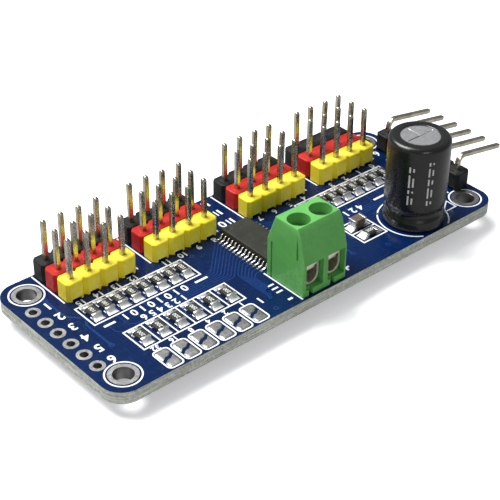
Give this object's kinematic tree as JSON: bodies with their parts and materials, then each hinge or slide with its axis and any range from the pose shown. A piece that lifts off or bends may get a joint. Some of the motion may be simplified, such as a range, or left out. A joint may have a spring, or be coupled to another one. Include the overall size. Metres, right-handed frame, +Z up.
{
  "type": "servo driver board",
  "caption": "Blue servo driver board with colour-coded three-pin servo headers, a screw terminal, a reservoir capacitor, a driver chip and a right-angle pin header.",
  "frame": {"origin": "centre of the four mounting holes, on the underside of the board", "axes": "+X along the board to the right-angle header, +Y across it to the servo headers, +Z up out of the component side"},
  "size_m": [0.0688, 0.025, 0.0156],
  "materials": {
    "board_blue": "gloss solder mask over glass fibre",
    "tinned_copper": "tinned copper",
    "yellow_plastic": "moulded, satin",
    "red_plastic": "moulded, satin",
    "black_plastic": "moulded, satin",
    "bright_pins": "bright tin plate",
    "solder": "bright solder",
    "green_plastic": "moulded, satin",
    "screw_steel": "zinc plated",
    "plated_brass": "tin over brass",
    "capacitor_aluminium": "drawn aluminium",
    "sleeve_film": "heat-shrunk film",
    "bung_rubber": "moulded rubber",
    "wound_foil": "wound foil and paper",
    "chip_mould": "moulded epoxy",
    "resistor_body": "glass glaze over ceramic",
    "end_metal": "tin plate",
    "ceramic_brown": "fired ceramic"
  },
  "bodies": {
    "board": {"address_jumper_pads": "tinned_copper", "address_resistor_bodies": "resistor_body", "address_resistor_ends": "end_metal", "address_soldering": "solder", "angle_header_housing": "black_plastic", "angle_header_pins": "bright_pins", "angle_header_solder_joints": "solder", "capacitor_bung": "bung_rubber", "capacitor_can": "capacitor_aluminium", "capacitor_leads": "bright_pins", "capacitor_sleeve": "sleeve_film", "capacitor_solder_joints": "solder", "capacitor_winding": "wound_foil", "ceramic_capacitor_body": "ceramic_brown", "chip_lands": "tinned_copper", "chip_leads": "bright_pins", "chip_package": "chip_mould", "circuit_board": "board_blue", "corner_part_ends": "end_metal", "corner_soldering": "solder", "dropper_resistor_body": "resistor_body", "ground_pins_1": "bright_pins", "ground_pins_2": "bright_pins", "ground_pins_3": "bright_pins", "ground_pins_4": "bright_pins", "ground_strip_1": "black_plastic", "ground_strip_2": "black_plastic", "ground_strip_3": "black_plastic", "ground_strip_4": "black_plastic", "header_solder_joints": "solder", "mounting_hole_plating": "tinned_copper", "power_pins_1": "bright_pins", "power_pins_2": "bright_pins", "power_pins_3": "bright_pins", "power_pins_4": "bright_pins", "power_strip_1": "red_plastic", "power_strip_2": "red_plastic", "power_strip_3": "red_plastic", "power_strip_4": "red_plastic", "series_resistor_bodies": "resistor_body", "series_resistor_ends": "end_metal", "series_soldering": "solder", "side_hole_plating": "tinned_copper", "signal_pins_1": "bright_pins", "signal_pins_2": "bright_pins", "signal_pins_3": "bright_pins", "signal_pins_4": "bright_pins", "signal_strip_1": "yellow_plastic", "signal_strip_2": "yellow_plastic", "signal_strip_3": "yellow_plastic", "signal_strip_4": "yellow_plastic", "terminal_contacts": "plated_brass", "terminal_housing": "green_plastic", "terminal_solder_joints": "solder"},
    "screw_1": {"terminal_screw_1": "screw_steel"},
    "cage_1": {"terminal_cage_1": "plated_brass"},
    "screw_2": {"terminal_screw_2": "screw_steel"},
    "cage_2": {"terminal_cage_2": "plated_brass"}
  },
  "joints": [
    {"name": "screw_1_turn", "type": "hinge", "parent": "board", "child": "screw_1", "pos_m": [-0.0017, -0.00895, 0.0077], "axis": [0, 0, -1], "range_deg": [0, 1080]},
    {"name": "cage_1_rise", "type": "slide", "parent": "board", "child": "cage_1", "axis": [0, 0, 1], "range_m": [0, 0.00135]},
    {"name": "screw_2_turn", "type": "hinge", "parent": "board", "child": "screw_2", "pos_m": [0.0018, -0.00895, 0.0077], "axis": [0, 0, -1], "range_deg": [0, 1080]},
    {"name": "cage_2_rise", "type": "slide", "parent": "board", "child": "cage_2", "axis": [0, 0, 1], "range_m": [0, 0.00135]}
  ],
  "couplings": [
    {"joint": "screw_1_turn", "follows": "cage_1_rise", "rad_per_m": 13963},
    {"joint": "screw_2_turn", "follows": "cage_2_rise", "rad_per_m": 13963}
  ]
}
